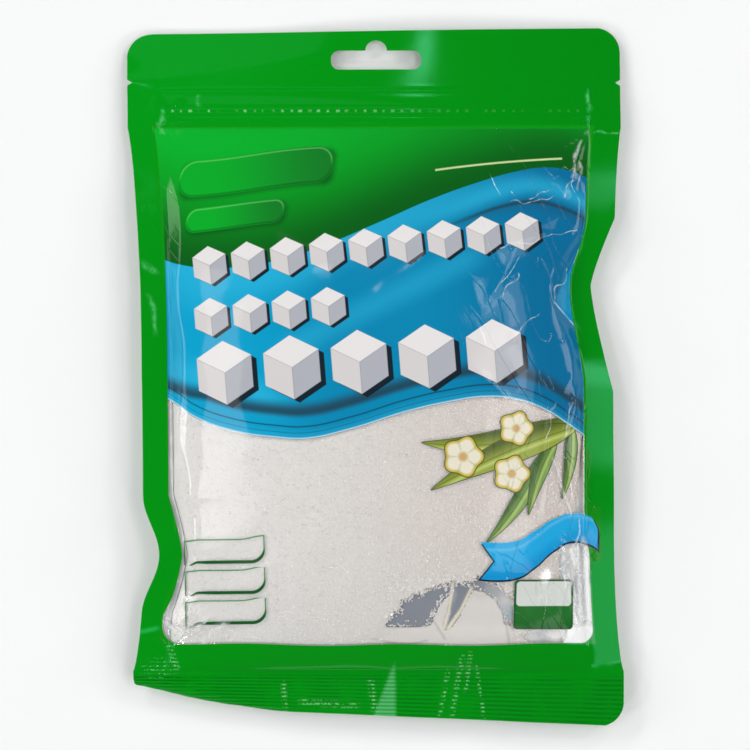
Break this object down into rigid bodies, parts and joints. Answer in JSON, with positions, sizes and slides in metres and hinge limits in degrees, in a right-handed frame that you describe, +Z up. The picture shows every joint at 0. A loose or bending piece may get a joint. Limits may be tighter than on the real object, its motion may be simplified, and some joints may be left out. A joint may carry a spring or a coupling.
{
  "type": "bag of sugar",
  "caption": "Filled flat zip pouch of white granulated sugar lying on its back, with a clear window, hanging slot, tear notches and a ribbed bottom seal.",
  "frame": {"origin": "under the middle of the pouch's box, on the surface it lies on", "axes": "+X across the pouch to the right of its print, +Y towards the hanging slot, +Z up out of the printed front"},
  "size_m": [0.161, 0.2262, 0.0213],
  "materials": {
    "printed_film": "gloss",
    "clear_film": "gloss",
    "sugar": "granular"
  },
  "bodies": {
    "root": {"pouch": "printed_film"}
  },
  "joints": []
}
